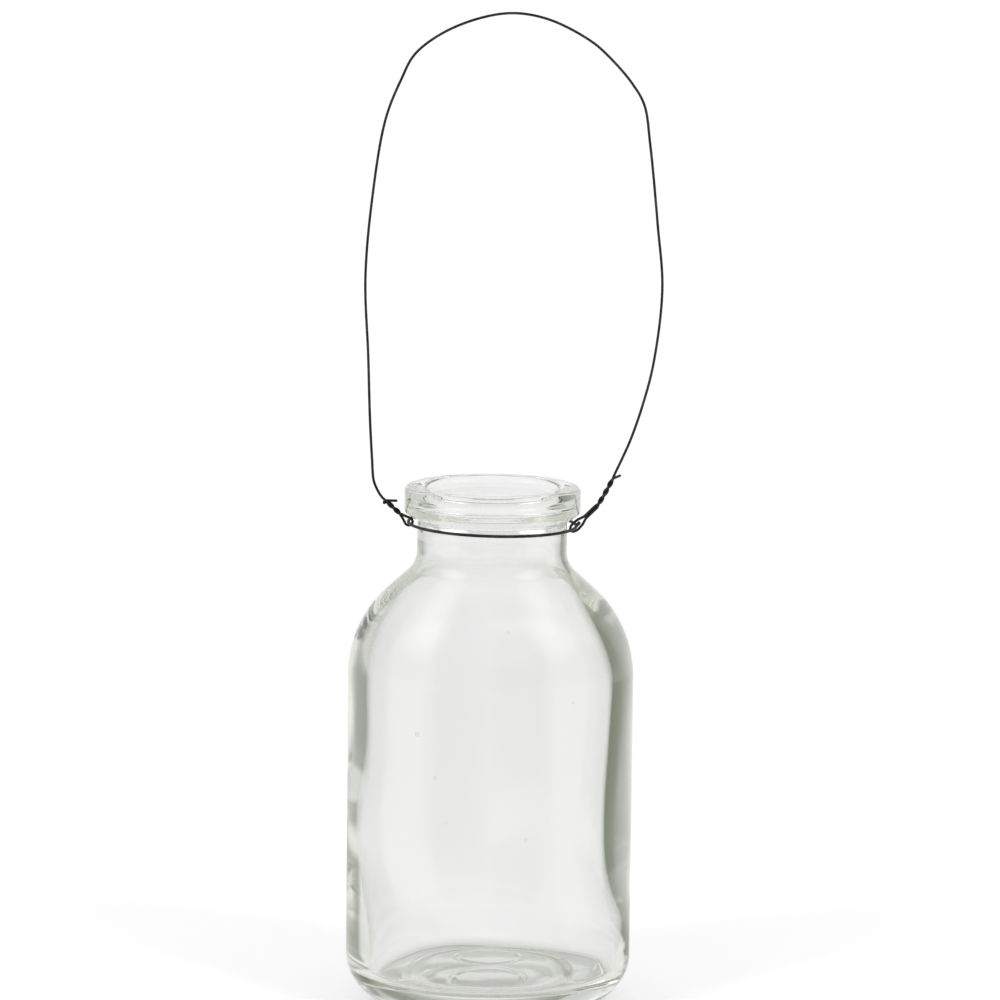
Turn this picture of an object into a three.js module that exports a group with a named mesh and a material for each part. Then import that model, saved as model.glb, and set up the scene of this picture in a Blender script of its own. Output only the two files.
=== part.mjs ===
// Hanging bottle vase: a heavy clear glass bottle, a wire round its neck and a wire bail hooked on that wire.
// Millimetres, +Z up. The origin is on the bottle's axis, in the plane that the bottle stands on.
// The bail stands over the bottle in the XZ plane, its longer twist at +X, and -Y faces the viewer.
import * as THREE from "three";

// Bottle, outside
const HEIGHT = 94.1;
const BODY_D = 51.6;
const HEEL_ROUND = 8.7;
const SHOULDER_ROUND = 20.9;
const SHOULDER_ANGLE = 47.5; // degrees that the shoulder's cone leans in from upright
const NECK_FILLET = 5.0;
const NECK_D = 27.1;
const NECK_DROP = 11.8; // from the rim down to where the neck starts to widen

// Lip, the thick band round the mouth
const LIP_D = 31.8;
const LIP_BAND = 4.9; // from the rim down to the band's lower edge
const LIP_TOP_ROUND = 1.0;
const LIP_LOWER_ROUND = 0.5;
const LIP_SLOPE_OUT = 0.9; // from the neck out to the inner end of the sloping underside
const LIP_SLOPE_DROP = 0.8; // from the band's lower edge down to that end
const LIP_NECK_FILLET = 0.6;

// Bottle, inside
const WALL = 3.3;
const NECK_WALL = 2.25;
const MOUTH_D = 23.4;
const MOUTH_ROUND = 1.4;
const GROOVE_DEPTH = 0.8; // of the groove inside the lip that a stopper snapped into
const GROOVE_HEIGHT = 3.6;
const GROOVE_DROP = 3.5; // from the rim down to the groove's middle
const MOUTH_TAPER = 2.2; // height over which the mouth narrows to the neck's bore
const FLOOR_THICK = 5.0;
const FLOOR_ROUND = 5.2;
const FLOOR_CROWN = 2.2; // how far the floor rises in the middle

// Underside
const BEARING_WIDTH = 2.5;
const RECESS_DEPTH = 0.7;
const RECESS_SLOPE = 3.0;

// Neck wire, a ring whose two cut ends are bent out at +X, one behind the other
const WIRE_D = 0.55;
const RING_GAP = 1.28; // between the neck and the ring
const RING_DROP = 6.9; // from the rim down to the ring's middle
const RING_TILT = 1.0; // degrees, higher at -X
const RING_END_SPACE = 0.12; // between the two ends
const RING_END_LENGTH = 1.0;
const RING_END_BEND = 0.8;

// Bail wire: two hooks round the neck wire, two twists and the hoop between them
const HOOK_GAP = 0.2; // between a hook's legs and the neck wire
const STRAND_GAP = 0.06; // between the two strands of a twist
const LEFT_HOOK_REACH = 0.8; // from the neck wire to the hook's bend inside it
const LEFT_TWIST_ANGLE = 41; // degrees above level
const LEFT_TWIST_START = 1.3; // from the neck wire
const LEFT_TWIST_LENGTH = 3.9;
const LEFT_HALF_TURNS = 2.5;
const LEFT_END_LENGTH = 2.3;
const RIGHT_HOOK_REACH = 1.3;
const RIGHT_TWIST_ANGLE = 45;
const RIGHT_END_ROOM = 0.08; // between a leg and the neck wire's ends beside it
const RIGHT_PAIR_START = 2.2; // from the neck wire to where the hook's legs meet and run on side by side
const RIGHT_TWIST_START = 4.9;
const RIGHT_TWIST_SHIFT = 0.05; // how far above the neck wire the twist points
const RIGHT_TWIST_LENGTH = 5.95;
const RIGHT_TWIST_BEND = 1.1; // from the twist's foot to where it turns up
const RIGHT_TWIST_TOP_ANGLE = 64.5; // degrees above level beyond that
const RIGHT_HALF_TURNS = 3.5;
const RIGHT_END_LENGTH = 1.5;
const RIGHT_END_ANGLE = 22; // degrees above level
const BAIL_RISE = 92.0; // from the neck wire up to the hoop's highest point
const BAIL_TOP_ACROSS = 1.45; // how far that point lies towards +X

// The hoop as it was bent by hand. A point of a leg lies so far outside the neck wire, at a share of the
// way from the twist's top up to the hoop's.
const LEFT_LEG = [
  [5.05, 0.012],
  [5.9, 0.028],
  [6.45, 0.044],
  [6.85, 0.09],
  [7.4, 0.172],
  [8.0, 0.3],
  [8.85, 0.455],
  [8.0, 0.618],
  [5.95, 0.78],
  [3.3, 0.862],
];
const RIGHT_LEG = [
  [6.75, 0.014],
  [7.7, 0.04],
  [9.3, 0.087],
  [11.3, 0.164],
  [13.0, 0.255],
  [14.15, 0.416],
  [12.95, 0.555],
  [11.15, 0.728],
  [9.9, 0.811],
  [7.65, 0.856],
];
// A point of the crown lies at a share of the way across from the highest point to the leg's end, and so
// many millimetres below the highest point.
const LEFT_CROWN = [
  [0.31, 1.05],
  [0.65, 4.0],
  [0.89, 7.9],
];
const RIGHT_CROWN = [
  [0.3, 1.05],
  [0.65, 4.7],
  [0.825, 7.85],
];

// Fineness of the facets
const BOTTLE_SIDES = 56;
const WIRE_SIDES = 8;
const RING_STEPS = 80;
const RING_END_STEPS = 5;
const TWIST_STEPS = 6; // in each half turn
const HOOK_STEPS = 8;
const HOOP_STEPS = 96;

const rad = THREE.MathUtils.degToRad;
const bodyR = BODY_D / 2;
const neckR = NECK_D / 2;
const lipR = LIP_D / 2;
const wireR = WIRE_D / 2;
const ringR = neckR + RING_GAP + wireR;
const neckFoot = HEIGHT - NECK_DROP;
const strandR = (WIRE_D + STRAND_GAP) / 2;
const legR = WIRE_D + HOOK_GAP;

// The points of an arc, from one angle to another in degrees, for a profile of radius and height.
function arc(centreR, centreZ, radius, from, to, steps) {
  const points = [];
  for (let i = 0; i <= steps; i++) {
    const angle = rad(from + ((to - from) * i) / steps);
    points.push(new THREE.Vector2(centreR + radius * Math.cos(angle), centreZ + radius * Math.sin(angle)));
  }
  return points;
}

// The centres of the shoulder's convex and concave rounds, which a cone joins.
function shoulderCentres() {
  const lean = rad(SHOULDER_ANGLE);
  const rounds = SHOULDER_ROUND + NECK_FILLET;
  const coneLength = (bodyR - neckR - rounds * (1 - Math.cos(lean))) / Math.sin(lean);
  const rise = rounds * Math.sin(lean) + coneLength * Math.cos(lean);
  return {
    convex: new THREE.Vector2(bodyR - SHOULDER_ROUND, neckFoot - rise),
    concave: new THREE.Vector2(neckR + NECK_FILLET, neckFoot),
  };
}

// The angle, in degrees, at which one straight line touches a convex and a concave round.
function tangentAngle(convex, convexR, concave, concaveR) {
  const apart = concave.clone().sub(convex);
  const between = Math.acos((convexR + concaveR) / apart.length());
  return THREE.MathUtils.radToDeg(apart.angle() - between);
}

// From the middle of the underside out to the bearing ring, round the heel and up to the neck.
function bodyOutside(convex, concave) {
  const bearingR = bodyR - HEEL_ROUND;
  const recessR = bearingR - BEARING_WIDTH;
  const recess = [
    new THREE.Vector2(0, RECESS_DEPTH),
    new THREE.Vector2(recessR - RECESS_SLOPE, RECESS_DEPTH),
    new THREE.Vector2(recessR - RECESS_SLOPE / 2, RECESS_DEPTH * 0.7),
    new THREE.Vector2(recessR, 0),
  ];
  return [
    ...recess,
    ...arc(bearingR, HEEL_ROUND, HEEL_ROUND, -90, 0, 8),
    ...arc(convex.x, convex.y, SHOULDER_ROUND, 0, SHOULDER_ANGLE, 8),
    ...arc(concave.x, concave.y, NECK_FILLET, 180 + SHOULDER_ANGLE, 180, 6),
  ];
}

// From the neck out under the lip, up its band and in over the rim to the mouth's edge.
function lipOutside() {
  const bandFoot = HEIGHT - LIP_BAND;
  const slopeEnd = new THREE.Vector2(neckR + LIP_SLOPE_OUT, bandFoot - LIP_SLOPE_DROP);
  const filletR = neckR + LIP_NECK_FILLET;
  return [
    ...arc(filletR, slopeEnd.y - LIP_NECK_FILLET, LIP_NECK_FILLET, 180, 90, 3),
    slopeEnd,
    ...arc(lipR - LIP_LOWER_ROUND, bandFoot + LIP_LOWER_ROUND, LIP_LOWER_ROUND, -60, 0, 3),
    ...arc(lipR - LIP_TOP_ROUND, HEIGHT - LIP_TOP_ROUND, LIP_TOP_ROUND, 0, 90, 5),
  ];
}

// From the mouth's edge down past the stopper groove to where the neck's bore starts.
function mouthInside(boreR) {
  const mouthR = MOUTH_D / 2;
  const points = arc(mouthR + MOUTH_ROUND, HEIGHT - MOUTH_ROUND, MOUTH_ROUND, 90, 180, 3);
  const steps = 6;
  const grooveTop = HEIGHT - GROOVE_DROP + GROOVE_HEIGHT / 2;
  for (let i = 0; i <= steps; i++) {
    const depth = (GROOVE_DEPTH * (1 - Math.cos((2 * Math.PI * i) / steps))) / 2;
    points.push(new THREE.Vector2(mouthR + depth, grooveTop - (GROOVE_HEIGHT * i) / steps));
  }
  points.push(new THREE.Vector2(boreR, grooveTop - GROOVE_HEIGHT - MOUTH_TAPER));
  return points;
}

// From the neck's bore down the shoulder and the wall to the middle of the floor.
function bodyInside(convex, concave) {
  const convexR = SHOULDER_ROUND - WALL;
  const concaveR = NECK_FILLET + NECK_WALL;
  const angle = tangentAngle(convex, convexR, concave, concaveR);
  const floorR = bodyR - WALL - FLOOR_ROUND;
  const points = [
    ...arc(concave.x, concave.y, concaveR, 180, 180 + angle, 6),
    ...arc(convex.x, convex.y, convexR, angle, 0, 7),
    ...arc(floorR, FLOOR_THICK + FLOOR_ROUND, FLOOR_ROUND, 0, -90, 6),
  ];
  const steps = 4;
  for (let i = 1; i <= steps; i++) {
    const share = 1 - i / steps;
    points.push(new THREE.Vector2(floorR * share, FLOOR_THICK + FLOOR_CROWN * (1 - share * share)));
  }
  return points;
}

function bottleGeometry() {
  const { convex, concave } = shoulderCentres();
  const profile = [
    ...bodyOutside(convex, concave),
    ...lipOutside(),
    ...mouthInside(neckR - NECK_WALL),
    ...bodyInside(convex, concave),
  ];
  const lathe = new THREE.LatheGeometry(profile, BOTTLE_SIDES);
  lathe.rotateX(Math.PI / 2);
  return lathe;
}

// A path with one step from each station to the next, so that a tight hook gets short steps and a leg long ones.
class WirePath extends THREE.CatmullRomCurve3 {
  getPointAt(u, target) {
    return this.getPoint(u, target);
  }

  getTangentAt(u, target) {
    return this.getTangent(u, target);
  }
}

// A round wire with square-cut ends.
function wireGeometry(stations) {
  const section = [];
  for (let i = 0; i < WIRE_SIDES; i++) {
    const angle = (2 * Math.PI * i) / WIRE_SIDES;
    section.push(new THREE.Vector2(wireR * Math.cos(angle), wireR * Math.sin(angle)));
  }
  const path = new WirePath(stations, false, "centripetal");
  return new THREE.ExtrudeGeometry(new THREE.Shape(section), {
    extrudePath: path,
    steps: stations.length - 1,
    bevelEnabled: false,
  });
}

// Places beside the neck wire, on the side -1 or 1. All wires are laid out with the ring level round the origin.
function besideRing(side, out, up, back = 0) {
  return new THREE.Vector3(side * (ringR + out), back, up);
}

// The same place by its distance along a direction that rises from the neck wire, and its height above that.
function besideTwist(side, angle, along, above, back = 0) {
  const lean = rad(angle);
  const out = along * Math.cos(lean) - above * Math.sin(lean);
  const up = along * Math.sin(lean) + above * Math.cos(lean);
  return besideRing(side, out, up, back);
}

// The neck wire, from its front end at +X round the front, the far side and the back to its other end.
function ringStations() {
  const back = wireR + RING_END_SPACE / 2;
  const twistStart = besideTwist(1, RIGHT_TWIST_ANGLE, RIGHT_TWIST_START, RIGHT_TWIST_SHIFT);
  const vertex = besideRing(1, 0, 0);
  const way = twistStart.sub(vertex).normalize();
  const opening = Math.asin((back + RING_END_BEND) / ringR);
  const end = (side) => {
    const corner = vertex.clone().setY(side * back);
    const bendFrom = corner.clone().addScaledVector(way, RING_END_BEND);
    const bendTo = new THREE.Vector3(ringR * Math.cos(opening), side * ringR * Math.sin(opening), 0);
    const bend = new THREE.QuadraticBezierCurve3(bendFrom, corner, bendTo);
    return [corner.clone().addScaledVector(way, RING_END_LENGTH), ...bend.getPoints(RING_END_STEPS)];
  };
  const stations = end(-1);
  for (let i = 1; i < RING_STEPS; i++) {
    const angle = -opening - ((2 * Math.PI - 2 * opening) * i) / RING_STEPS;
    stations.push(new THREE.Vector3(ringR * Math.cos(angle), ringR * Math.sin(angle), 0));
  }
  return [...stations, ...end(1).reverse()];
}

// The two strands of a twist round the given axis, from side by side at its foot.
function twistStrands(side, axis, halfTurns) {
  const steps = Math.round(halfTurns * TWIST_STEPS);
  const upper = [];
  const lower = [];
  for (let i = 0; i <= steps; i++) {
    const way = axis.getTangentAt(i / steps);
    const turn = (Math.PI * halfTurns * i) / steps;
    const offset = new THREE.Vector3(-side * way.z, 0, side * way.x).multiplyScalar(strandR * Math.cos(turn));
    offset.y = -strandR * Math.sin(turn);
    const middle = axis.getPointAt(i / steps);
    upper.push(middle.clone().add(offset));
    lower.push(middle.clone().sub(offset));
  }
  return { upper, lower };
}

// The bend of a hook, from its lower leg round the inside of the neck wire to its upper leg.
function hookBend(side, angle, reach) {
  const stations = [];
  for (let i = 0; i <= HOOK_STEPS; i++) {
    const turn = (Math.PI * i) / HOOK_STEPS;
    stations.push(besideTwist(side, angle, -reach * Math.sin(turn), -legR * Math.cos(turn)));
  }
  return stations;
}

// The bail's -X side: the hook, and a twist whose cut end passes behind the hoop's leg and out to the front.
function leftSide() {
  const foot = besideTwist(-1, LEFT_TWIST_ANGLE, LEFT_TWIST_START, 0);
  const top = besideTwist(-1, LEFT_TWIST_ANGLE, LEFT_TWIST_START + LEFT_TWIST_LENGTH, 0);
  const strands = twistStrands(-1, new THREE.LineCurve3(foot, top), LEFT_HALF_TURNS);
  const way = top.clone().sub(foot).normalize();
  const under = new THREE.Vector3(-way.z, 0, way.x);
  const leg = strands.upper[strands.upper.length - 1];
  const end = [];
  for (let i = 1; i <= TWIST_STEPS; i++) {
    const turn = (Math.PI * i) / TWIST_STEPS;
    const point = leg.clone().addScaledVector(way, (WIRE_D * i) / TWIST_STEPS);
    point.addScaledVector(under, 2 * strandR * Math.sin(turn));
    point.y += 2 * strandR * Math.cos(turn);
    end.push(point);
  }
  end.push(end[end.length - 1].clone().add(new THREE.Vector3(LEFT_END_LENGTH, 0, 0)));
  const bend = hookBend(-1, LEFT_TWIST_ANGLE, LEFT_HOOK_REACH);
  return { strands, bend, end, top };
}

// The bail's +X side: the hook, and a longer twist that bends upright, with a short cut end.
function rightSide() {
  const foot = besideTwist(1, RIGHT_TWIST_ANGLE, RIGHT_TWIST_START, RIGHT_TWIST_SHIFT);
  const lower = rad(RIGHT_TWIST_ANGLE);
  const upper = rad(RIGHT_TWIST_TOP_ANGLE);
  const toBend = new THREE.Vector3(Math.cos(lower), 0, Math.sin(lower)).multiplyScalar(RIGHT_TWIST_BEND);
  const toTop = new THREE.Vector3(Math.cos(upper), 0, Math.sin(upper));
  toTop.multiplyScalar(RIGHT_TWIST_LENGTH - RIGHT_TWIST_BEND);
  const corner = foot.clone().add(toBend);
  const top = corner.clone().add(toTop);
  const strands = twistStrands(1, new THREE.QuadraticBezierCurve3(foot, corner, top), RIGHT_HALF_TURNS);
  const last = strands.lower[strands.lower.length - 1];
  const lean = rad(RIGHT_END_ANGLE);
  const way = new THREE.Vector3(Math.cos(lean), 0, Math.sin(lean));
  const end = [
    last.clone().add(new THREE.Vector3(WIRE_D / 2, 0, WIRE_D / 2)),
    last.clone().add(new THREE.Vector3(WIRE_D / 4, 0, WIRE_D / 2)).addScaledVector(way, RIGHT_END_LENGTH),
  ];
  const leg = (along, apart) =>
    besideTwist(1, RIGHT_TWIST_ANGLE, along, (RIGHT_TWIST_SHIFT * along) / RIGHT_TWIST_START + apart);
  const beside = WIRE_D + RIGHT_END_ROOM;
  const bend = [
    leg(RIGHT_PAIR_START, -strandR),
    leg(RING_END_LENGTH, -beside),
    ...hookBend(1, RIGHT_TWIST_ANGLE, RIGHT_HOOK_REACH),
    leg(RING_END_LENGTH, beside),
    leg(RIGHT_PAIR_START, strandR),
  ];
  return { strands, bend, end, top };
}

// The hoop, from the leg's strand at one twist's top over the crown to the strand at the other's.
function hoopStations(left, right) {
  const leg = (side, points, top) =>
    points.map(([out, share]) => besideRing(side, out, THREE.MathUtils.lerp(top.z, BAIL_RISE, share)));
  const leftLeg = leg(-1, LEFT_LEG, left.top);
  const rightLeg = leg(1, RIGHT_LEG, right.top);
  const crown = (points, end) =>
    points.map(([share, down]) => {
      const across = THREE.MathUtils.lerp(BAIL_TOP_ACROSS, end.x, share);
      return new THREE.Vector3(across, 0, BAIL_RISE - down);
    });
  const leftCrown = crown(LEFT_CROWN, leftLeg[leftLeg.length - 1]);
  const rightCrown = crown(RIGHT_CROWN, rightLeg[rightLeg.length - 1]);
  const curve = new THREE.CatmullRomCurve3(
    [
      right.strands.upper[right.strands.upper.length - 1],
      ...rightLeg,
      ...rightCrown.reverse(),
      new THREE.Vector3(BAIL_TOP_ACROSS, 0, BAIL_RISE),
      ...leftCrown,
      ...leftLeg.reverse(),
      left.strands.upper[left.strands.upper.length - 1],
    ],
    false,
    "centripetal",
  );
  return curve.getSpacedPoints(HOOP_STEPS).slice(1, -1);
}

// One wire: cut end, down a strand of the right twist, round the hook, up the other strand, over the hoop,
// and the same on the left.
function bailStations() {
  const left = leftSide();
  const right = rightSide();
  return [
    ...right.end.reverse(),
    ...right.strands.lower.reverse(),
    ...right.bend,
    ...right.strands.upper,
    ...hoopStations(left, right),
    ...left.strands.upper.reverse(),
    ...left.bend.reverse(),
    ...left.strands.lower,
    ...left.end,
  ];
}

function mesh(name, geometry, material) {
  const made = new THREE.Mesh(geometry, material);
  made.name = name;
  return made;
}

const glass = new THREE.MeshStandardMaterial({ color: 0xdfe6df, roughness: 0.05, metalness: 0 });
const wire = new THREE.MeshStandardMaterial({ color: 0x35332f, roughness: 0.55, metalness: 0.8 });

const hanger = new THREE.Group();
hanger.add(mesh("neck_wire", wireGeometry(ringStations()), wire));
hanger.add(mesh("bail_wire", wireGeometry(bailStations()), wire));
hanger.position.z = HEIGHT - RING_DROP;
hanger.rotation.y = rad(RING_TILT);

const vase = new THREE.Group();
vase.add(mesh("bottle", bottleGeometry(), glass));
vase.add(hanger);
export default vase;
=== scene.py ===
"""Looks for the hanging bottle vase: clear, uneven glass and two dark annealed wires, bent by hand."""

import math

import bpy
import numpy as np
from mathutils import Matrix, Vector


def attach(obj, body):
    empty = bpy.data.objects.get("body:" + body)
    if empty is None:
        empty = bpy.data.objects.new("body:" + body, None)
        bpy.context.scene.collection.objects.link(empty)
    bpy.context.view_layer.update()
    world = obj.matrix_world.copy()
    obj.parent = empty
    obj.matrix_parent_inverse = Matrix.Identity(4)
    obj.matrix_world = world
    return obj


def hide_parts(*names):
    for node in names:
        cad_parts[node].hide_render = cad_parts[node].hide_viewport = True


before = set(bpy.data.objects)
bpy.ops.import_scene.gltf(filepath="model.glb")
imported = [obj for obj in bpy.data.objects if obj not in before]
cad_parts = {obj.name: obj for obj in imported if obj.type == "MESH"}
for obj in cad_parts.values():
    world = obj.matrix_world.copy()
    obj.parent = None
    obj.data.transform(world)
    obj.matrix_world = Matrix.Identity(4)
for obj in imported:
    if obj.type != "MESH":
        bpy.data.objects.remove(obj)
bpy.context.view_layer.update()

# Sizes in millimetres and angles in degrees, as in the CAD source unless a comment says otherwise. MM scales
# them to metres.
MM = 0.001

# The bottle's outside.
HEIGHT = 94.1
BODY_R = 25.8
HEEL_ROUND = 8.7
SHOULDER_ROUND = 20.9
SHOULDER_ANGLE = 47.5
NECK_FILLET = 5.0
NECK_R = 13.55
NECK_DROP = 11.8
LIP_R = 15.9
LIP_BAND = 4.9
LIP_TOP_ROUND = 1.0
LIP_LOWER_ROUND = 0.5
LIP_LOWER_ANGLE = 60
LIP_SLOPE_OUT = 0.9
LIP_SLOPE_DROP = 0.8
LIP_NECK_FILLET = 0.6
BEARING_WIDTH = 2.5
BEARING_EDGE_INNER = 0.35
BEARING_EDGE_OUTER = 0.4
BEARING_LIFT = 0.02
RECESS_DEPTH = 0.7
RECESS_SLOPE = 3.0
RECESS_BEND = 0.7

# The bottle's inside. The neck's wall, the shoulder, the floor and the ring-shaped dent in it aren't those of
# the CAD source: they are what the light in the photograph's glass asks for.
WALL = 3.3
NECK_WALL = 1.1
SHOULDER_THINNING = 5.5
MOUTH_R = 11.7
MOUTH_ROUND = 1.4
MOUTH_TAPER = 2.2
GROOVE_DEPTH = 0.8
GROOVE_HEIGHT = 3.6
GROOVE_DROP = 3.5
FLOOR_THICK = 5.4
FLOOR_ROUND = 2.2
FLOOR_CROWN = 2.4
DENT_R = 5.8
DENT_WIDTH = 0.4
DENT_DEPTH = 0.16

# Rows and columns of the bottle's mesh.
SIDES = 256
ROUND_ROWS = 26
WALL_ROWS = 44
GROOVE_ROWS = 24
FLOOR_ROWS = 60

# The glass is uneven here, unlike the CAD source: (height, how much thicker than WALL) at +X and at -X.
RIGHT_THICK = [
    (0, 0.0), (4, 0.0), (8, -0.6), (12, -1.3), (16, -1.3), (20, -0.5), (24, 0.15), (28, 0.5), (32, 0.65),
    (39, 0.68), (46, 0.62), (52, 0.5), (60, 0.4), (66, 1.0), (71, 1.3), (75, 0.9), (79, 0.2), (95, 0.0),
]
LEFT_THICK = [
    (0, 0.0), (4, 0.2), (8, 0.5), (12, 0.4), (20, -0.35), (28, -1.1), (36, -1.1), (44, -0.25), (50, -0.08),
    (58, -0.05), (65, 0.2), (72, 0.5), (79, 0.1), (84, 0.0), (95, 0.0),
]
# How far round the axis that spreads, and the radii where it starts and is full.
THICK_SPREAD = 42
THICK_FROM_R = 13
THICK_FULL_R = 18
# How the corners of those curves are rounded, in millimetres of height.
SMOOTH_REACH = 5
SMOOTH_WIDTH = 2
SMOOTH_SAMPLES = 21

# Slow waves, only here: (how far, times round the axis, radians per millimetre along, start).
WALL_WAVES = [(0.1, 2, 0.05, 0.6), (0.05, 3, -0.07, 2.1), (0.02, 5, 0.1, 0.0)]
SKIN_WAVES = [(0.02, 3, 0.11, 0.0), (0.012, 7, -0.23, 0.0)]
FLOOR_WAVES = [(0.08, 2, 0.2, 0.0), (0.05, 3, 0.35, 1.3)]
CROSS_WAVE = 0.12
CROSS_WAVE_START = 1.1
CROSS_WAVE_RISE = 0.06
WAVES_FOOT = 4
WAVES_FOOT_FADE = 12
WAVES_TOP = 80
WAVES_TOP_FADE = 16
FLOOR_WAVES_TOP = 12
FLOOR_WAVES_FULL_R = 12

# Seeds in the glass, only here: (middle, half sizes, lean in radians).
SEEDS = [
    ((-12.6, -20.7, 52.4), (0.42, 0.06, 0.4), 0.3),
    ((-9.4, -22.3, 44.9), (0.34, 0.05, 0.38), -0.4),
    ((6.4, -23.2, 34.0), (0.2, 0.04, 0.26), 0.1),
    ((17.0, 16.6, 52.0), (0.2, 0.06, 0.3), 0.2),
    ((-8.0, 22.6, 28.0), (0.2, 0.04, 0.24), 0.0),
    ((4.0, 23.4, 60.5), (0.16, 0.04, 0.22), 0.5),
]

# The wires. The bail's is drawn a little thinner than in the CAD source, and its strands touch in the twists.
WIRE_D = 0.55
BAIL_WIRE_D = 0.48
RING_GAP = 1.28
RING_DROP = 6.9
RING_TILT = 1.0
RING_END_SPACE = 0.12
RING_END_LENGTH = 1.0
RING_END_BEND = 0.8
HOOK_GAP = 0.2
LEFT_HOOK_REACH = 0.8
LEFT_TWIST_ANGLE = 41
LEFT_TWIST_START = 1.3
LEFT_TWIST_LENGTH = 3.9
LEFT_HALF_TURNS = 2.5
LEFT_END_LENGTH = 2.3
RIGHT_HOOK_REACH = 1.3
RIGHT_TWIST_ANGLE = 45
RIGHT_END_ROOM = 0.08
RIGHT_PAIR_START = 2.2
RIGHT_TWIST_START = 4.9
RIGHT_TWIST_SHIFT = 0.05
RIGHT_TWIST_LENGTH = 5.95
RIGHT_TWIST_BEND = 1.1
RIGHT_TWIST_TOP_ANGLE = 64.5
RIGHT_HALF_TURNS = 3.5
RIGHT_END_LENGTH = 1.5
RIGHT_END_ANGLE = 22
BAIL_RISE = 92.0
BAIL_TOP_ACROSS = 1.45

# The hoop's legs: (distance out from the ring, share of the way up from the twist's top), from the foot up.
LEFT_LEG = [
    (5.05, 0.012), (5.9, 0.028), (6.45, 0.044), (6.85, 0.09), (7.4, 0.172), (8.0, 0.3), (8.85, 0.455),
    (8.0, 0.618), (5.95, 0.78), (3.3, 0.862),
]
RIGHT_LEG = [
    (6.75, 0.014), (7.7, 0.04), (9.3, 0.087), (11.3, 0.164), (13.0, 0.255), (14.15, 0.416), (12.95, 0.555),
    (11.15, 0.728), (9.9, 0.811), (7.65, 0.856),
]
# The hoop's crown: (share of the way from the top to the leg's end, drop below the top), from the top down.
LEFT_CROWN = [(0.31, 1.05), (0.65, 4.0), (0.89, 7.9)]
RIGHT_CROWN = [(0.3, 1.05), (0.65, 4.7), (0.825, 7.85)]

WIRE_R = WIRE_D / 2
RING_R = NECK_R + RING_GAP + WIRE_R
BAIL_WIRE_R = BAIL_WIRE_D / 2
LEG_R = WIRE_R + BAIL_WIRE_R + HOOK_GAP

# Stations along the wires, and how many sides a wire has round.
RING_STATIONS = 80
BEND_STATIONS = 12
TWIST_STATIONS = 12
RING_END_STATIONS = 5
LEFT_END_STATIONS = 8
HOOP_SPAN_STATIONS = 12
TWIST_SAMPLES = 200
WIRE_SIDES = 16

# The cut ends of a wire, as shares of its radius, and the shortest step between its stations.
NIP_THIN = 0.35
NIP_WIDE = 0.95
NIP_LENGTH = 0.9
SHORTEST_STEP = 0.02
# A direction that neither wire starts along.
OFF_WIRE = (0.3, 1.0, 0.2)


# The camera, fitted to the photograph's outlines. The roll is in radians, and PX stands for its pixels.
CAMERA_BACK = 1191.7
CAMERA_UP = 270.0
CAMERA_ACROSS = 1.35
CAMERA_ROLL = 0.011
AIM_UP = 91.5
FOCAL_PX = 6696.0
PICTURE_PX = 1000.0
SENSOR_WIDTH = 36.0


def make_camera():
    data = bpy.data.cameras.new("photo_camera")
    data.sensor_fit = "HORIZONTAL"
    data.sensor_width = SENSOR_WIDTH
    data.lens = SENSOR_WIDTH * FOCAL_PX / PICTURE_PX
    data.clip_start, data.clip_end = 0.05, 20.0
    cam = bpy.data.objects.new("photo_camera", data)
    bpy.context.scene.collection.objects.link(cam)
    bpy.context.scene.camera = cam
    place = Vector((CAMERA_ACROSS, -CAMERA_BACK, CAMERA_UP)) * MM
    aim = Vector((CAMERA_ACROSS, 0, AIM_UP)) * MM
    ahead = (aim - place).normalized()
    across = ahead.cross(Vector((0, 0, 1))).normalized()
    over = across.cross(ahead)
    right = across * math.cos(CAMERA_ROLL) + over * math.sin(CAMERA_ROLL)
    up = over * math.cos(CAMERA_ROLL) - across * math.sin(CAMERA_ROLL)
    turn = Matrix((right, up, -ahead)).transposed().to_4x4()
    cam.matrix_world = Matrix.Translation(place) @ turn


make_camera()


# The bottle
def arc(centre, radius, start, end, steps):
    """The points of an arc, from one angle to another in so many steps."""
    angles = np.radians(np.linspace(start, end, steps + 1))
    return [(centre[0] + radius * math.cos(t), centre[1] + radius * math.sin(t)) for t in angles]


def line(a, b, steps):
    """The points after a, up to and with b."""
    along, up = b[0] - a[0], b[1] - a[1]
    return [(a[0] + along * i / steps, a[1] + up * i / steps) for i in range(1, steps + 1)]


def shoulder_centres():
    """The centres of the shoulder's convex round and of the fillet between the shoulder and the neck."""
    lean = math.radians(SHOULDER_ANGLE)
    rounds = SHOULDER_ROUND + NECK_FILLET
    cone = (BODY_R - NECK_R - rounds * (1 - math.cos(lean))) / math.sin(lean)
    rise = rounds * math.sin(lean) + cone * math.cos(lean)
    foot = HEIGHT - NECK_DROP
    return (BODY_R - SHOULDER_ROUND, foot - rise), (NECK_R + NECK_FILLET, foot)


CONVEX, CONCAVE = shoulder_centres()


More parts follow.
